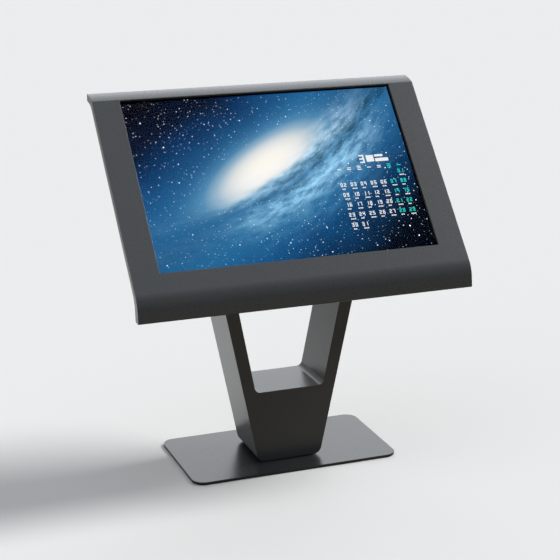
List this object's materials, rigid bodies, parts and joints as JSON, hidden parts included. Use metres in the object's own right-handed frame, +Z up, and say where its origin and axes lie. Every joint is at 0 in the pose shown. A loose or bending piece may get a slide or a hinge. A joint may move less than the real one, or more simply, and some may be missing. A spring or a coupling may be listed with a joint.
{
  "type": "touchscreen kiosk",
  "caption": "Free-standing touchscreen kiosk: a large sloping screen in a folded metal head on a V-shaped box stand with a flat base plate and lockable service doors.",
  "frame": {"origin": "on the floor, under the middle of the base plate", "axes": "+X to the right across the screen as its user sees it, +Y from the user towards the back, +Z up"},
  "size_m": [1.096, 0.5377, 1.1867],
  "materials": {
    "cover_paint": "satin charcoal powder coat, fine texture",
    "stand_paint": "satin charcoal powder coat, fine texture",
    "base_paint": "satin charcoal powder coat, fine texture",
    "tub_paint": "satin charcoal powder coat, fine texture",
    "screen_glass": "clear toughened glass with a printed black border",
    "display_face": "lit picture behind glossy film",
    "light_guide": "clear acrylic with white print",
    "tray_metal": "rolled sheet",
    "galvanised": "zinc-plated sheet",
    "bright_steel": "bright zinc plating",
    "black_screw": "black oxide",
    "lock_chrome": "bright chrome",
    "button_steel": "turned stainless steel",
    "inlet_metal": "satin anodised sheet",
    "contact_brass": "bright brass",
    "mat_rubber": "matte black rubber",
    "seal_foam": "closed-cell foam",
    "grommet_rubber": "matte black rubber",
    "black_plastic": "fine moulded texture",
    "rocker_plastic": "polished moulded plastic",
    "case_black": "black anodised finish",
    "case_grey": "plain plated finish",
    "board_green": "solder resist",
    "flex_film": "amber polyimide film",
    "ribbon_film": "white ribbon cable",
    "cone_paper": "coated paper pulp",
    "mains_jacket": "matte jacket",
    "network_jacket": "matte jacket",
    "clip_nylon": "natural nylon"
  },
  "bodies": {
    "root": {"base_mat": "mat_rubber", "base_plate": "base_paint", "foot_pad": "mat_rubber", "foot_flange": "galvanised", "foot_bolts": "bright_steel", "foot_washers": "bright_steel", "stand_front_plate": "stand_paint", "stand_rear_plate": "stand_paint", "stand_outer_skin": "stand_paint", "stand_inner_skin": "stand_paint", "arm_cap_left": "galvanised", "arm_cap_right": "galvanised", "head_bolts": "bright_steel", "cable_grommets": "grommet_rubber", "pedestal_hinge_pins": "bright_steel", "inlet_plate": "inlet_metal", "inlet_plate_screws": "black_screw", "mains_inlet": "black_plastic", "inlet_pins": "contact_brass", "power_switch_frame": "black_plastic", "network_socket": "black_plastic", "mains_lead": "mains_jacket", "network_lead": "network_jacket", "cable_clips": "clip_nylon", "front_cover": "cover_paint", "glass_gasket": "seal_foam", "touch_glass": "screen_glass", "touch_flex": "flex_film", "touch_controller": "board_green", "display_panel": "display_face", "light_guide": "light_guide", "backlight_tray": "tray_metal", "panel_rail_left": "galvanised", "panel_rail_right": "galvanised", "rail_screws": "black_screw", "equipment_plate": "galvanised", "media_player": "case_black", "power_supply": "case_grey", "display_board": "board_green", "display_ribbon": "ribbon_film", "rear_tub": "tub_paint", "tub_screws": "black_screw", "service_hinge_pins": "bright_steel", "fan_frame_left": "black_plastic", "fan_frame_right": "black_plastic", "fan_screws": "black_screw", "speaker_left": "black_plastic", "speaker_right": "black_plastic", "speaker_cones": "cone_paper", "power_button_bezel": "button_steel"},
    "service_door": {"service_door": "tub_paint", "service_lock_body": "lock_chrome"},
    "service_lock": {"service_lock_plug": "lock_chrome"},
    "pedestal_door": {"pedestal_door": "stand_paint", "pedestal_lock_body": "lock_chrome"},
    "pedestal_lock": {"pedestal_lock_plug": "lock_chrome"},
    "fan_left": {"fan_rotor_left": "black_plastic"},
    "fan_right": {"fan_rotor_right": "black_plastic"},
    "power_rocker": {"power_switch_rocker": "rocker_plastic"},
    "power_button": {"power_button": "button_steel"}
  },
  "joints": [
    {"name": "service_door_hinge", "type": "hinge", "parent": "root", "child": "service_door", "pos_m": [0, 0.21735, 1.00715], "axis": [1, 0, 0], "range_deg": [0, 95]},
    {"name": "service_lock_turn", "type": "hinge", "parent": "service_door", "child": "service_lock", "pos_m": [0, -0.07729, 0.68709], "axis": [0, 0.7431, -0.6691], "range_deg": [0, 90]},
    {"name": "pedestal_door_hinge", "type": "hinge", "parent": "root", "child": "pedestal_door", "pos_m": [-0.0675, 0.0978, 0.16], "axis": [0, 0, 1], "range_deg": [0, 110]},
    {"name": "pedestal_lock_turn", "type": "hinge", "parent": "pedestal_door", "child": "pedestal_lock", "pos_m": [0.042, 0.093, 0.16], "axis": [0, 1, 0], "range_deg": [0, 90]},
    {"name": "fan_left_spin", "type": "hinge", "parent": "root", "child": "fan_left", "pos_m": [-0.38, 0.225, 1.098], "axis": [0, 1, 0], "continuous": true},
    {"name": "fan_right_spin", "type": "hinge", "parent": "root", "child": "fan_right", "pos_m": [0.38, 0.225, 1.098], "axis": [0, 1, 0], "continuous": true},
    {"name": "power_rocker_tilt", "type": "hinge", "parent": "root", "child": "power_rocker", "pos_m": [0.005, 0.093, 0.051], "axis": [1, 0, 0], "range_deg": [0, 20]},
    {"name": "power_button_push", "type": "slide", "parent": "root", "child": "power_button", "axis": [0, 0.6691, 0.7431], "range_m": [0, 0.0025], "stiffness_N_per_m": 300}
  ]
}
